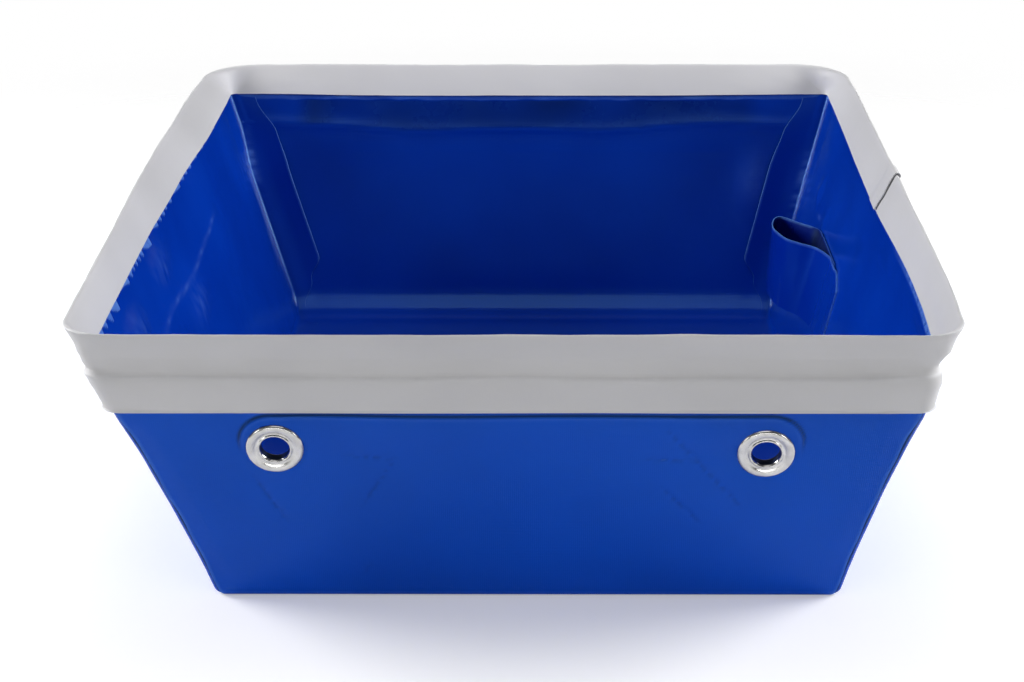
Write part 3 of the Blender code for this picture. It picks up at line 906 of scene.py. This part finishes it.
def band_wear_and_painted_light(height, from_end):
    """Pale along the fold and the lower edge, a painted highlight along the ridge, and painted shade beside
    the lap.
    """
    # A painted highlight along the ridge.
    ridge_line = bump(height, RIDGE_Z - 0.0003, 0.0010)
    fold_line = bump(height, TOP_Z, 0.0008)
    foot_line = bump(height, BAND_LOW_Z, 0.0010)
    lap_shade = fade(LAP + 0.0014 - from_end, 0.0, 0.0010) * fade(from_end, LAP - 0.0024, LAP - 0.0010)
    return np.clip(1.2 * ridge_line + 0.8 * fold_line + 0.7 * foot_line, 0, 1) - 0.3 * lap_shade


def make_band():
    """One grey strip folded over the rim, with its ends lapped on the right side."""
    profile = band_profile()
    spots = np.array([(z, out) for z, out, _ in profile])
    over = travelled(spots)
    cut = eased(over / over[-1], LAP_MARKS)
    over = over[:, None]
    rows = [rim_ring(z, out, radius, y, y + LAP) for (z, out, radius), y in zip(profile, cut)]
    even = np.array(rows)
    z = even[..., 2]
    along = travelled(even[0])[None, :]
    face = push(even, band_relief(along, over, even))
    lower = fade(RIDGE_Z + 0.004 - z, 0.0, 0.02)
    face[..., 2] += lower * 0.0006 * undulation(along, 0 * over, 0.20, 73)
    face[..., 2] += 0.0008 * bump(z, RIDGE_Z, 0.005) * undulation(along, 0 * over, 0.13, 74)
    wear_and_painted_light = band_wear_and_painted_light(spots[:, :1], along[0, -1] - along)
    uv = np.stack(np.broadcast_arrays(along, over), axis=2)
    band = sheet("rim_band_strip", warp(face), uv, GREY_SLOTS, wear_and_painted_light=wear_and_painted_light)
    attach(band, "rim")
    stand_in(band, "grey_tarpaulin", "rim_band")


def make_stiffener():
    """The plastic strip inside the band, just under its ridge."""
    low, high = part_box("rim_stiffener")
    levels = np.linspace(low.z, high.z - STIFFENER_CLEARANCE, 5)
    rows = [rim_ring(z, STIFFENER_STAND_OFF, STIFFENER_CORNER, *STIFFENER_ENDS) for z in levels]
    face = warp(np.array(rows))
    strip = sheet("stiffener_strip", face, face[..., 1:], (PLASTIC, PLASTIC, PLASTIC))
    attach(strip, "rim")
    stand_in(strip, "stiffener", "rim_stiffener")


# ------ eyelets

FLANGE_OUTLINE = (
    (16.0, 0.6), (15.95, 1.1), (15.6, 1.7), (14.9, 2.25), (14.0, 2.5), (13.0, 2.45), (12.0, 2.1),
    (11.2, 1.65), (10.6, 1.35), (10.1, 1.25), (9.7, 1.45), (9.3, 1.85), (8.9, 2.05), (8.5, 1.9),
    (8.15, 1.4), (8.0, 0.8),
)
CURL_OUTLINE = (
    (8.0, -3.8), (8.25, -4.5), (8.9, -5.0), (9.8, -5.1), (10.8, -4.9), (11.5, -4.4), (11.7, -3.9),
    (11.2, -3.75), (10.2, -3.75), (9.2, -3.7), (9.0, -3.2), (9.0, 0.6),
)
WASHER_OUTLINE = (
    (16.0, -2.9), (15.9, -3.15), (15.2, -3.5), (13.5, -3.65), (11.5, -3.6), (9.4, -3.55), (9.3, -3.4),
    (9.3, -2.8),
)
"""The eyelet's two halves and the washer, as (radius, height above the wall's face) in millimetres."""
EYELET_SEGMENTS = 96


def lathe(name, outline, slots, shaded_row=None):
    """A closed ring turned about +Z from a closed outline. One row of its faces may take the second slot."""
    angles = np.linspace(0, 2 * pi, EYELET_SEGMENTS, endpoint=False)
    spots = np.array(outline) / 1000
    radius, height = spots[:, :1], spots[:, 1:]
    points = np.stack([radius * np.cos(angles), radius * np.sin(angles), height + 0 * angles], axis=2)
    index = np.arange(len(outline) * EYELET_SEGMENTS).reshape(len(outline), EYELET_SEGMENTS)
    after_row = np.roll(index, -1, axis=0)
    quads = np.stack([index, after_row, np.roll(after_row, -1, axis=1), np.roll(index, -1, axis=1)], axis=2)
    quads = quads.reshape(-1, 4)
    slot_of_face = np.zeros(index.shape)
    if shaded_row is not None:
        slot_of_face[shaded_row] = 1
    flat = points.reshape(-1, 3)
    return make_mesh(name, flat, quads, flat[:, :2], slots, slot_of_face.ravel(), sharp_degrees=50)


def make_eyelets():
    """Both eyelets, each with its washer, turned and set square on the front wall."""
    flange = FLANGE_OUTLINE + CURL_OUTLINE
    # The row of faces inside the hole takes the painted-shade steel.
    bore = len(FLANGE_OUTLINE) - 1
    kinds = {"eyelet": (flange, (STEEL, SHADED_BORE), bore), "eyelet_washer": (WASHER_OUTLINE, (STEEL,), None)}
    for side, (x, z) in EYELET_SPOTS.items():
        leaning = Matrix.Rotation(radians(90) + atan(SLOPE_END), 4, "X")
        on_wall = Matrix.Translation((x, -(FOOT_END + SLOPE_END * z), z)) @ leaning
        for kind, (outline, slots, shaded_row) in kinds.items():
            piece = lathe(f"{side}_{kind}_turned", outline, slots, shaded_row)
            piece.data.transform(on_wall)
            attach(piece, "base")
            stand_in(piece, "plated_steel", f"{side}_{kind}")


def make_backing():
    """The strip behind the front wall that the eyelets clamp. Its ends are rounded."""
    radius = BACKING_RADIUS
    u = np.linspace(-BACKING_HALF_X, BACKING_HALF_X, round(2 * BACKING_HALF_X / FINE_STEP))[None, :]
    v = np.linspace(-1, 1, 2 * round(BACKING_HALF_Z / FINE_STEP) + 1)[:, None]
    from_end = np.clip(BACKING_HALF_X - np.abs(u), 0, radius)
    squared = radius ** 2 - (radius - from_end) ** 2
    height = BACKING_HALF_Z - radius + np.sqrt(np.maximum(squared, (0.12 * radius) ** 2))
    x = (BACKING_HIGH.x + BACKING_LOW.x) / 2 + u + 0 * v
    z = (BACKING_HIGH.z + BACKING_LOW.z) / 2 + v * height
    x, z, keep = punch(x, z, EYELET_SPOTS.values(), BACKING_HOLE_REACH)
    y = -(FOOT_END + SLOPE_END * z) + PLY + BACKING_GAP
    uv = np.stack([x, z], axis=2)
    strip = sheet("eyelet_backing_strip", np.stack([x, y, z], axis=2), uv, BLUE_SLOTS, keep)
    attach(strip, "base")
    stand_in(strip, "blue_tarpaulin", "eyelet_backing")


# ------ loop on the right wall

LOOP_PLAN = (
    (0.0012, 0.062), (0.0016, 0.069), (0.0090, 0.087), (0.0200, 0.097), (0.0285, 0.107), (0.0335, 0.124),
    (0.0345, 0.141), (0.0325, 0.154), (0.0280, 0.1605), (0.0225, 0.157), (0.0160, 0.149), (0.0065, 0.139),
    (0.0012, 0.130), (0.0012, 0.115),
)
"""The free part of the strip at its top edge, as (distance in from the wall, y)."""
LOOP_TAPER = 0.33
"""The loop stands this much less far out at its lower edge."""
LOOP_INSET = 0.0009
"""The ply next to the wall lies this far in from the wall's inner face."""
LOOP_LAP_Y = 0.050
"""Where the strip's far end stops, under its near end."""
LOOP_CUT = 0.018
LOOP_CUT_DROP = 0.008
"""The near end's upper corner is cut off: how far along, and how far down."""
LOOP_HIDDEN = 0.088
# This much of the strip lies in the loop's dark inside, where it is painted with shade.
"""This much of the strip lies in the loop's dark inside."""


def through(points, steps):
    """A smooth line through the points, with so many steps between each two."""
    spots = np.array(points)
    ends = np.concatenate([[2 * spots[0] - spots[1]], spots, [2 * spots[-1] - spots[-2]]])
    made = []
    for before, start, end, after in zip(ends, ends[1:], ends[2:], ends[3:]):
        for t in np.linspace(0, 1, steps, endpoint=False):
            bend = (end - before) * t + (2 * before - 5 * start + 4 * end - after) * t ** 2
            made.append(start + (bend + (3 * start - before - 3 * end + after) * t ** 3) / 2)
    return np.array(made + [spots[-1]])


def loop_path():
    """The strip in plan: from its welded end, out and round, and back along the wall under its own end."""
    free = through(LOOP_PLAN, 7)
    front = [
        (LOOP_INSET + PLY * float(fade(y, LOOP_LAP_Y - 0.014, LOOP_LAP_Y - 0.002)), y)
        for y in np.arange(LOOP_END_LOW.y, LOOP_PLAN[0][1] - STEP / 2, STEP)
    ]
    back = [(LOOP_INSET, y) for y in np.arange(LOOP_PLAN[-1][1] - STEP, LOOP_LAP_Y, -STEP)]
    free[:, 0] += PLY * (1 - fade(np.arange(len(free)), 0, 0.2 * len(free)))
    free[:, 0] = np.maximum(free[:, 0], LOOP_INSET)
    return np.concatenate([front, free, back])


def make_loop():
    """The strip stood on edge along its path, with its welded end lying on the wall."""
    path = loop_path()
    along = travelled(path)[None, :]
    out, path_y = path[None, :, 0], path[None, :, 1]
    from_top = np.linspace(1, 0, 26)[:, None]
    cut = LOOP_CUT_DROP * np.clip(1 - along / LOOP_CUT, 0, 1)
    top = LOOP_HIGH.z - cut - 0.0006 * (1 + np.cos(along / 0.031))
    z = top + (LOOP_LOW.z - top) * from_top
    flat = np.minimum(out, LOOP_INSET + PLY)
    inset = flat + (out - flat) * (1 - LOOP_TAPER * from_top)
    y = path_y + 0.004 * from_top * fade(out, 0.004, 0.03)
    wall_x = FOOT_RIGHT + SLOPE_RIGHT * z - CLOTH + right_relief(y, z)[0]
    face = np.stack([wall_x - inset, y, z], axis=2)
    face = push(face, 0.0004 * fade(out, 0.002, 0.012) * undulation(along, z, 0.05, 81))
    hidden = fade(LOOP_HIDDEN - (along[0, -1] - along), 0.0, 0.008)
    # Pale at the cut edges, and painted shade where the strip lies in the loop's inside.
    wear_and_painted_light = 0.5 * fade(z, top - 0.0012, top) + 0.25 * fade(0.002 - along, 0.0, 0.001) - 0.7 * hidden
    uv = np.stack([along + 0 * z, z], axis=2)
    loop = sheet("side_loop_strip", face[:, ::-1], uv[:, ::-1], LOOP_SLOTS, wear_and_painted_light=wear_and_painted_light[:, ::-1])
    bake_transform(loop)
    stand_in(loop, "blue_tarpaulin", "side_loop", "loop_end")


# ------ studio

PAPER_HALF = 2.0
PAPER_GAP = 0.0003
PAPER_FADE = (0.5, 1.2)
"""From this radius to that one the paper fades into the backdrop."""
PAPER_GLOW = 0.3
"""How much whiter the camera sees the paper than its light makes it, so that no blue shows on it."""
ROOM_LIGHT = (0.10, 0.09)
"""Strength of the room's own light near the horizon and overhead."""
LENS_MM = 81.5
LENS_SHIFT = (-0.0318, 0.0066)
CAMERA_PLACE = (0.0190, -1.4242, 0.6024)
CAMERA_PITCH = radians(20.8)
CAMERA_YAW = radians(-0.17)


def make_paper():
    """A sheet of white paper that fades into the backdrop away from the object."""
    nodes = Nodes(bpy.data.materials.new("white_paper"))
    fibre = nodes.noise(300.0, 3.0)
    away = nodes.add("ShaderNodeVectorMath", {0: nodes.place}, operation="LENGTH").outputs["Value"]
    nodes.shade(Base_Color=(0.88, 0.88, 0.88, 1), Roughness=nodes.ramp(fibre, 0.75, 0.9))
    nodes.shade(Normal=nodes.bump(fibre, 0.00005, 0.1), Alpha=nodes.ramp(away, 1.0, 0.0, *PAPER_FADE))
    seen = nodes.add("ShaderNodeLightPath").outputs["Is Camera Ray"]
    nodes.shade(Emission_Color=(1, 1, 1, 1), Emission_Strength=nodes.math("MULTIPLY", seen, PAPER_GLOW))
    mesh = bpy.data.meshes.new("studio_floor")
    corners = [(PAPER_HALF * x, PAPER_HALF * y, 0) for x, y in ((-1, -1), (1, -1), (1, 1), (-1, 1))]
    mesh.from_pydata(corners, [], [(0, 1, 2, 3)])
    mesh.materials.append(nodes.owner)
    ground = add_object("studio_floor", mesh)
    ground.location.z = CAD_BOX[0].z - PAPER_GAP


def make_world():
    """White behind the object. For its lighting, the room is dim, so that the softboxes shape the light."""
    world = bpy.data.worlds.new("studio")
    bpy.context.scene.world = world
    nodes = Nodes(world, "Generated")
    backdrop = nodes.tree.nodes["Background"]
    nodes.set(backdrop, "Color", (1, 1, 1, 1))
    height = nodes.add("ShaderNodeSeparateXYZ", {0: nodes.place}).outputs["Z"]
    room = nodes.add("ShaderNodeBackground", {"Strength": nodes.ramp(height, *ROOM_LIGHT, 0.1, 0.95)})
    seen = nodes.add("ShaderNodeLightPath").outputs["Is Camera Ray"]
    both = nodes.add("ShaderNodeMixShader", {0: seen, 1: room.outputs[0], 2: backdrop.outputs[0]})
    nodes.set(nodes.tree.nodes["World Output"], "Surface", both.outputs[0])


def aim(thing, ahead):
    """Turns a lamp or a camera to look along a direction, with its top up."""
    thing.rotation_euler = ahead.to_track_quat("-Z", "Y").to_euler()


def softbox(name, place, target, width, height, power):
    """A rectangle of light, width by height metres, aimed at the target and not seen by the camera."""
    lamp = bpy.data.lights.new(name, "AREA")
    lamp.shape = "RECTANGLE"
    lamp.size = width
    lamp.size_y = height
    lamp.energy = power
    made = add_object(name, lamp)
    made.location = place
    made.visible_camera = False
    aim(made, Vector(target) - Vector(place))


def make_lights():
    """Low lights at the sides for the side walls, a low front fill, and a panel above the back bend."""
    for name, side in (("left", -1), ("right", 1)):
        softbox(name + "_softbox", (1.30 * side, 0.20, 0.66), (0, 0, 0.1), 0.8, 0.6, 21)
        softbox(name + "_strip", (0.95 * side, -0.95, 0.26), (0, -0.25, 0.1), 0.25, 0.4, 0.9)
    softbox("front_fill", (0, -1.70, 0.10), (0, -0.29, 0.13), 1.6, 0.2, 2.8)
    softbox("overhead_panel", (0, -0.55, 1.34), (0, 0.24, 0), 0.8, 1.6, 4.6)


def make_camera():
    """In front of the tub and above it, a little to the right of its middle."""
    lens = bpy.data.cameras.new("camera")
    lens.sensor_width = 36
    lens.lens = LENS_MM
    lens.shift_x, lens.shift_y = LENS_SHIFT
    lens.clip_start = 0.05
    camera = add_object("camera", lens)
    camera.location = CAMERA_PLACE
    level = cos(CAMERA_PITCH)
    aim(camera, Vector((sin(CAMERA_YAW) * level, cos(CAMERA_YAW) * level, -sin(CAMERA_PITCH))))
    bpy.context.scene.camera = camera
    bpy.context.scene.view_settings.view_transform = "Standard"


make_walls()
make_band()
make_stiffener()
make_eyelets()
make_backing()
make_loop()
make_paper()
make_world()
make_lights()
make_camera()
